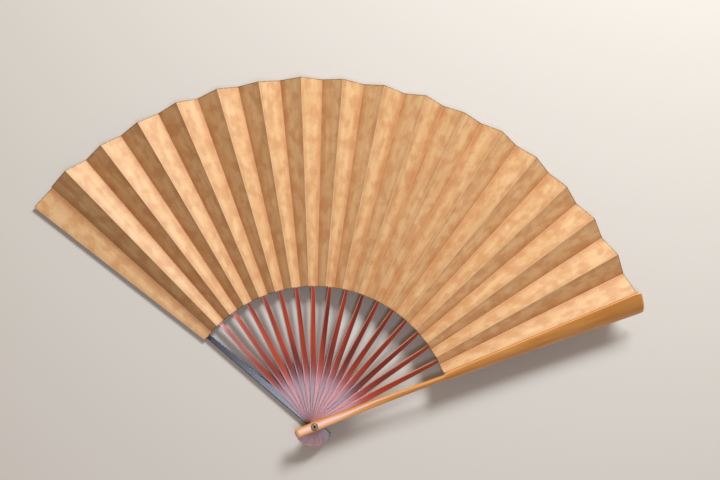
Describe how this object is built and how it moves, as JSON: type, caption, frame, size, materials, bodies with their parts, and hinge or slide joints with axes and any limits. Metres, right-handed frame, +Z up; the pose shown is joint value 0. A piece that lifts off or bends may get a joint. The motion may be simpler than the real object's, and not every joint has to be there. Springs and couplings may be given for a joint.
{
  "type": "hand fan",
  "caption": "Folding hand fan with a pleated paper leaf on thin lacquered sticks between two guards, which all turn on one tubular rivet.",
  "frame": {"origin": "on the rivet's axis, at the underside of the rear guard", "axes": "+Z up along the rivet, +Y along the middle of the open fan, +X to the right seen from above"},
  "size_m": [0.5312, 0.3151, 0.0338],
  "materials": {
    "front_guard": "clear varnished bamboo",
    "rear_guard": "black lacquered bamboo",
    "stick": "red-brown gloss lacquer",
    "leaf": "aged, mottled, matt",
    "rivet": "aged",
    "washer": "polished horn"
  },
  "bodies": {
    "back": {"rear_guard": "rear_guard", "leaf_rear": "leaf", "rivet_tube": "rivet", "washer_rear": "washer", "washer_front": "washer"},
    "stick_01": {"stick_01": "stick"},
    "pleat_01": {"pleat_01": "leaf"},
    "stick_02": {"stick_02": "stick"},
    "pleat_02": {"pleat_02": "leaf"},
    "stick_03": {"stick_03": "stick"},
    "pleat_03": {"pleat_03": "leaf"},
    "stick_04": {"stick_04": "stick"},
    "pleat_04": {"pleat_04": "leaf"},
    "stick_05": {"stick_05": "stick"},
    "pleat_05": {"pleat_05": "leaf"},
    "stick_06": {"stick_06": "stick"},
    "pleat_06": {"pleat_06": "leaf"},
    "stick_07": {"stick_07": "stick"},
    "pleat_07": {"pleat_07": "leaf"},
    "stick_08": {"stick_08": "stick"},
    "pleat_08": {"pleat_08": "leaf"},
    "stick_09": {"stick_09": "stick"},
    "pleat_09": {"pleat_09": "leaf"},
    "stick_10": {"stick_10": "stick"},
    "pleat_10": {"pleat_10": "leaf"},
    "stick_11": {"stick_11": "stick"},
    "pleat_11": {"pleat_11": "leaf"},
    "stick_12": {"stick_12": "stick"},
    "pleat_12": {"pleat_12": "leaf"},
    "stick_13": {"stick_13": "stick"},
    "pleat_13": {"pleat_13": "leaf"},
    "stick_14": {"stick_14": "stick"},
    "pleat_14": {"pleat_14": "leaf"},
    "stick_15": {"stick_15": "stick"},
    "pleat_15": {"pleat_15": "leaf"},
    "stick_16": {"stick_16": "stick"},
    "pleat_16": {"pleat_16": "leaf"},
    "front_handle": {"front_handle": "front_guard"},
    "front_blade": {"front_blade": "front_guard", "leaf_front": "leaf"},
    "fold_01": {"fold_01": "leaf"},
    "fold_02": {"fold_02": "leaf"},
    "fold_03": {"fold_03": "leaf"},
    "fold_04": {"fold_04": "leaf"},
    "fold_05": {"fold_05": "leaf"},
    "fold_06": {"fold_06": "leaf"},
    "fold_07": {"fold_07": "leaf"},
    "fold_08": {"fold_08": "leaf"},
    "fold_09": {"fold_09": "leaf"},
    "fold_10": {"fold_10": "leaf"},
    "fold_11": {"fold_11": "leaf"},
    "fold_12": {"fold_12": "leaf"},
    "fold_13": {"fold_13": "leaf"},
    "fold_14": {"fold_14": "leaf"},
    "fold_15": {"fold_15": "leaf"},
    "fold_16": {"fold_16": "leaf"},
    "fold_17": {"fold_17": "leaf"}
  },
  "joints": [
    {"name": "fan_swing", "type": "hinge", "parent": "back", "child": "front_handle", "pos_m": [0, 0, 0], "axis": [0, 0, 1], "range_deg": [0, 119.34]},
    {"name": "stick_swing_01", "type": "hinge", "parent": "back", "child": "stick_01", "pos_m": [0, 0, 0], "axis": [0, 0, 1], "range_deg": [0, 7.04]},
    {"name": "stick_swing_02", "type": "hinge", "parent": "back", "child": "stick_02", "pos_m": [0, 0, 0], "axis": [0, 0, 1], "range_deg": [0, 14.06]},
    {"name": "stick_swing_03", "type": "hinge", "parent": "back", "child": "stick_03", "pos_m": [0, 0, 0], "axis": [0, 0, 1], "range_deg": [0, 21.08]},
    {"name": "stick_swing_04", "type": "hinge", "parent": "back", "child": "stick_04", "pos_m": [0, 0, 0], "axis": [0, 0, 1], "range_deg": [0, 28.1]},
    {"name": "stick_swing_05", "type": "hinge", "parent": "back", "child": "stick_05", "pos_m": [0, 0, 0], "axis": [0, 0, 1], "range_deg": [0, 35.12]},
    {"name": "stick_swing_06", "type": "hinge", "parent": "back", "child": "stick_06", "pos_m": [0, 0, 0], "axis": [0, 0, 1], "range_deg": [0, 42.14]},
    {"name": "stick_swing_07", "type": "hinge", "parent": "back", "child": "stick_07", "pos_m": [0, 0, 0], "axis": [0, 0, 1], "range_deg": [0, 49.16]},
    {"name": "stick_swing_08", "type": "hinge", "parent": "back", "child": "stick_08", "pos_m": [0, 0, 0], "axis": [0, 0, 1], "range_deg": [0, 56.18]},
    {"name": "stick_swing_09", "type": "hinge", "parent": "back", "child": "stick_09", "pos_m": [0, 0, 0], "axis": [0, 0, 1], "range_deg": [0, 63.2]},
    {"name": "stick_swing_10", "type": "hinge", "parent": "back", "child": "stick_10", "pos_m": [0, 0, 0], "axis": [0, 0, 1], "range_deg": [0, 70.22]},
    {"name": "stick_swing_11", "type": "hinge", "parent": "back", "child": "stick_11", "pos_m": [0, 0, 0], "axis": [0, 0, 1], "range_deg": [0, 77.24]},
    {"name": "stick_swing_12", "type": "hinge", "parent": "back", "child": "stick_12", "pos_m": [0, 0, 0], "axis": [0, 0, 1], "range_deg": [0, 84.26]},
    {"name": "stick_swing_13", "type": "hinge", "parent": "back", "child": "stick_13", "pos_m": [0, 0, 0], "axis": [0, 0, 1], "range_deg": [0, 91.28]},
    {"name": "stick_swing_14", "type": "hinge", "parent": "back", "child": "stick_14", "pos_m": [0, 0, 0], "axis": [0, 0, 1], "range_deg": [0, 98.3]},
    {"name": "stick_swing_15", "type": "hinge", "parent": "back", "child": "stick_15", "pos_m": [0, 0, 0], "axis": [0, 0, 1], "range_deg": [0, 105.32]},
    {"name": "stick_swing_16", "type": "hinge", "parent": "back", "child": "stick_16", "pos_m": [0, 0, 0], "axis": [0, 0, 1], "range_deg": [0, 112.34]},
    {"name": "neck_twist_01", "type": "hinge", "parent": "stick_01", "child": "pleat_01", "pos_m": [0, 0, 0.00352], "axis": [-0.7721, 0.6355, 0], "range_deg": [-33.79, 0]},
    {"name": "neck_twist_02", "type": "hinge", "parent": "stick_02", "child": "pleat_02", "pos_m": [0, 0, 0.00453], "axis": [-0.6886, 0.7251, 0], "range_deg": [-33.79, 0]},
    {"name": "neck_twist_03", "type": "hinge", "parent": "stick_03", "child": "pleat_03", "pos_m": [0, 0, 0.00553], "axis": [-0.5948, 0.8039, 0], "range_deg": [-33.79, 0]},
    {"name": "neck_twist_04", "type": "hinge", "parent": "stick_04", "child": "pleat_04", "pos_m": [0, 0, 0.00653], "axis": [-0.4921, 0.8705, 0], "range_deg": [-33.79, 0]},
    {"name": "neck_twist_05", "type": "hinge", "parent": "stick_05", "child": "pleat_05", "pos_m": [0, 0, 0.00752], "axis": [-0.382, 0.9241, 0], "range_deg": [-33.79, 0]},
    {"name": "neck_twist_06", "type": "hinge", "parent": "stick_06", "child": "pleat_06", "pos_m": [0, 0, 0.00852], "axis": [-0.2662, 0.9639, 0], "range_deg": [-33.79, 0]},
    {"name": "neck_twist_07", "type": "hinge", "parent": "stick_07", "child": "pleat_07", "pos_m": [0, 0, 0.00953], "axis": [-0.1464, 0.9892, 0], "range_deg": [-33.79, 0]},
    {"name": "neck_twist_08", "type": "hinge", "parent": "stick_08", "child": "pleat_08", "pos_m": [0, 0, 0.01052], "axis": [-0.0244, 0.9997, 0], "range_deg": [-33.79, 0]},
    {"name": "neck_twist_09", "type": "hinge", "parent": "stick_09", "child": "pleat_09", "pos_m": [0, 0, 0.01153], "axis": [0.0979, 0.9952, 0], "range_deg": [-33.79, 0]},
    {"name": "neck_twist_10", "type": "hinge", "parent": "stick_10", "child": "pleat_10", "pos_m": [0, 0, 0.01252], "axis": [0.2188, 0.9758, 0], "range_deg": [-33.79, 0]},
    {"name": "neck_twist_11", "type": "hinge", "parent": "stick_11", "child": "pleat_11", "pos_m": [0, 0, 0.01353], "axis": [0.3364, 0.9417, 0], "range_deg": [-33.79, 0]},
    {"name": "neck_twist_12", "type": "hinge", "parent": "stick_12", "child": "pleat_12", "pos_m": [0, 0, 0.01452], "axis": [0.449, 0.8935, 0], "range_deg": [-33.79, 0]},
    {"name": "neck_twist_13", "type": "hinge", "parent": "stick_13", "child": "pleat_13", "pos_m": [0, 0, 0.01553], "axis": [0.5548, 0.832, 0], "range_deg": [-33.79, 0]},
    {"name": "neck_twist_14", "type": "hinge", "parent": "stick_14", "child": "pleat_14", "pos_m": [0, 0, 0.01653], "axis": [0.6524, 0.7579, 0], "range_deg": [-33.79, 0]},
    {"name": "neck_twist_15", "type": "hinge", "parent": "stick_15", "child": "pleat_15", "pos_m": [0, 0, 0.01752], "axis": [0.7401, 0.6725, 0], "range_deg": [-33.79, 0]},
    {"name": "neck_twist_16", "type": "hinge", "parent": "stick_16", "child": "pleat_16", "pos_m": [0, 0, 0.01852], "axis": [0.8167, 0.577, 0], "range_deg": [-33.79, 0]},
    {"name": "neck_twist_17", "type": "hinge", "parent": "front_handle", "child": "front_blade", "pos_m": [0, 0, 0.01953], "axis": [0.8811, 0.4729, 0], "range_deg": [-33.79, 0]},
    {"name": "fold_hinge_01", "type": "hinge", "parent": "back", "child": "fold_01", "pos_m": [0, 0, 0.00302], "axis": [-0.844, 0.5364, 0], "range_deg": [-146.25, 0], "deforming": ["fold_01"]},
    {"name": "fold_hinge_02", "type": "hinge", "parent": "stick_01", "child": "fold_02", "pos_m": [0, 0, 0.00402], "axis": [-0.7721, 0.6355, 0], "range_deg": [-146.25, 0], "deforming": ["fold_02"]},
    {"name": "fold_hinge_03", "type": "hinge", "parent": "stick_02", "child": "fold_03", "pos_m": [0, 0, 0.00502], "axis": [-0.6886, 0.7251, 0], "range_deg": [-146.25, 0], "deforming": ["fold_03"]},
    {"name": "fold_hinge_04", "type": "hinge", "parent": "stick_03", "child": "fold_04", "pos_m": [0, 0, 0.00602], "axis": [-0.5948, 0.8039, 0], "range_deg": [-146.25, 0], "deforming": ["fold_04"]},
    {"name": "fold_hinge_05", "type": "hinge", "parent": "stick_04", "child": "fold_05", "pos_m": [0, 0, 0.00702], "axis": [-0.4921, 0.8705, 0], "range_deg": [-146.25, 0], "deforming": ["fold_05"]},
    {"name": "fold_hinge_06", "type": "hinge", "parent": "stick_05", "child": "fold_06", "pos_m": [0, 0, 0.00802], "axis": [-0.382, 0.9241, 0], "range_deg": [-146.25, 0], "deforming": ["fold_06"]},
    {"name": "fold_hinge_07", "type": "hinge", "parent": "stick_06", "child": "fold_07", "pos_m": [0, 0, 0.00903], "axis": [-0.2662, 0.9639, 0], "range_deg": [-146.25, 0], "deforming": ["fold_07"]},
    {"name": "fold_hinge_08", "type": "hinge", "parent": "stick_07", "child": "fold_08", "pos_m": [0, 0, 0.01002], "axis": [-0.1464, 0.9892, 0], "range_deg": [-146.25, 0], "deforming": ["fold_08"]},
    {"name": "fold_hinge_09", "type": "hinge", "parent": "stick_08", "child": "fold_09", "pos_m": [0, 0, 0.01103], "axis": [-0.0244, 0.9997, 0], "range_deg": [-146.25, 0], "deforming": ["fold_09"]},
    {"name": "fold_hinge_10", "type": "hinge", "parent": "stick_09", "child": "fold_10", "pos_m": [0, 0, 0.01202], "axis": [0.0979, 0.9952, 0], "range_deg": [-146.25, 0], "deforming": ["fold_10"]},
    {"name": "fold_hinge_11", "type": "hinge", "parent": "stick_10", "child": "fold_11", "pos_m": [0, 0, 0.01303], "axis": [0.2188, 0.9758, 0], "range_deg": [-146.25, 0], "deforming": ["fold_11"]},
    {"name": "fold_hinge_12", "type": "hinge", "parent": "stick_11", "child": "fold_12", "pos_m": [0, 0, 0.01402], "axis": [0.3364, 0.9417, 0], "range_deg": [-146.25, 0], "deforming": ["fold_12"]},
    {"name": "fold_hinge_13", "type": "hinge", "parent": "stick_12", "child": "fold_13", "pos_m": [0, 0, 0.01503], "axis": [0.449, 0.8935, 0], "range_deg": [-146.25, 0], "deforming": ["fold_13"]},
    {"name": "fold_hinge_14", "type": "hinge", "parent": "stick_13", "child": "fold_14", "pos_m": [0, 0, 0.01603], "axis": [0.5548, 0.832, 0], "range_deg": [-146.25, 0], "deforming": ["fold_14"]},
    {"name": "fold_hinge_15", "type": "hinge", "parent": "stick_14", "child": "fold_15", "pos_m": [0, 0, 0.01702], "axis": [0.6524, 0.7579, 0], "range_deg": [-146.25, 0], "deforming": ["fold_15"]},
    {"name": "fold_hinge_16", "type": "hinge", "parent": "stick_15", "child": "fold_16", "pos_m": [0, 0, 0.01802], "axis": [0.7401, 0.6725, 0], "range_deg": [-146.25, 0], "deforming": ["fold_16"]},
    {"name": "fold_hinge_17", "type": "hinge", "parent": "stick_16", "child": "fold_17", "pos_m": [0, 0, 0.01903], "axis": [0.8167, 0.577, 0], "range_deg": [-146.25, 0], "deforming": ["fold_17"]}
  ],
  "couplings": [
    {"joint": "stick_swing_01", "follows": "fan_swing", "ratio": 0.058824},
    {"joint": "stick_swing_02", "follows": "fan_swing", "ratio": 0.11765},
    {"joint": "stick_swing_03", "follows": "fan_swing", "ratio": 0.17647},
    {"joint": "stick_swing_04", "follows": "fan_swing", "ratio": 0.23529},
    {"joint": "stick_swing_05", "follows": "fan_swing", "ratio": 0.29412},
    {"joint": "stick_swing_06", "follows": "fan_swing", "ratio": 0.35294},
    {"joint": "stick_swing_07", "follows": "fan_swing", "ratio": 0.41176},
    {"joint": "stick_swing_08", "follows": "fan_swing", "ratio": 0.47059},
    {"joint": "stick_swing_09", "follows": "fan_swing", "ratio": 0.52941},
    {"joint": "stick_swing_10", "follows": "fan_swing", "ratio": 0.58824},
    {"joint": "stick_swing_11", "follows": "fan_swing", "ratio": 0.64706},
    {"joint": "stick_swing_12", "follows": "fan_swing", "ratio": 0.70588},
    {"joint": "stick_swing_13", "follows": "fan_swing", "ratio": 0.76471},
    {"joint": "stick_swing_14", "follows": "fan_swing", "ratio": 0.82353},
    {"joint": "stick_swing_15", "follows": "fan_swing", "ratio": 0.88235},
    {"joint": "stick_swing_16", "follows": "fan_swing", "ratio": 0.94118},
    {"joint": "neck_twist_01", "follows": "fan_swing", "ratio": -0.28296},
    {"joint": "neck_twist_02", "follows": "fan_swing", "ratio": -0.28296},
    {"joint": "neck_twist_03", "follows": "fan_swing", "ratio": -0.28296},
    {"joint": "neck_twist_04", "follows": "fan_swing", "ratio": -0.28296},
    {"joint": "neck_twist_05", "follows": "fan_swing", "ratio": -0.28296},
    {"joint": "neck_twist_06", "follows": "fan_swing", "ratio": -0.28296},
    {"joint": "neck_twist_07", "follows": "fan_swing", "ratio": -0.28296},
    {"joint": "neck_twist_08", "follows": "fan_swing", "ratio": -0.28296},
    {"joint": "neck_twist_09", "follows": "fan_swing", "ratio": -0.28296},
    {"joint": "neck_twist_10", "follows": "fan_swing", "ratio": -0.28296},
    {"joint": "neck_twist_11", "follows": "fan_swing", "ratio": -0.28296},
    {"joint": "neck_twist_12", "follows": "fan_swing", "ratio": -0.28296},
    {"joint": "neck_twist_13", "follows": "fan_swing", "ratio": -0.28296},
    {"joint": "neck_twist_14", "follows": "fan_swing", "ratio": -0.28296},
    {"joint": "neck_twist_15", "follows": "fan_swing", "ratio": -0.28296},
    {"joint": "neck_twist_16", "follows": "fan_swing", "ratio": -0.28296},
    {"joint": "neck_twist_17", "follows": "fan_swing", "ratio": -0.28296},
    {"joint": "fold_hinge_01", "follows": "fan_swing", "ratio": -1.2253},
    {"joint": "fold_hinge_02", "follows": "fan_swing", "ratio": -1.2253},
    {"joint": "fold_hinge_03", "follows": "fan_swing", "ratio": -1.2253},
    {"joint": "fold_hinge_04", "follows": "fan_swing", "ratio": -1.2253},
    {"joint": "fold_hinge_05", "follows": "fan_swing", "ratio": -1.2253},
    {"joint": "fold_hinge_06", "follows": "fan_swing", "ratio": -1.2253},
    {"joint": "fold_hinge_07", "follows": "fan_swing", "ratio": -1.2253},
    {"joint": "fold_hinge_08", "follows": "fan_swing", "ratio": -1.2253},
    {"joint": "fold_hinge_09", "follows": "fan_swing", "ratio": -1.2253},
    {"joint": "fold_hinge_10", "follows": "fan_swing", "ratio": -1.2253},
    {"joint": "fold_hinge_11", "follows": "fan_swing", "ratio": -1.2253},
    {"joint": "fold_hinge_12", "follows": "fan_swing", "ratio": -1.2253},
    {"joint": "fold_hinge_13", "follows": "fan_swing", "ratio": -1.2253},
    {"joint": "fold_hinge_14", "follows": "fan_swing", "ratio": -1.2253},
    {"joint": "fold_hinge_15", "follows": "fan_swing", "ratio": -1.2253},
    {"joint": "fold_hinge_16", "follows": "fan_swing", "ratio": -1.2253},
    {"joint": "fold_hinge_17", "follows": "fan_swing", "ratio": -1.2253}
  ]
}
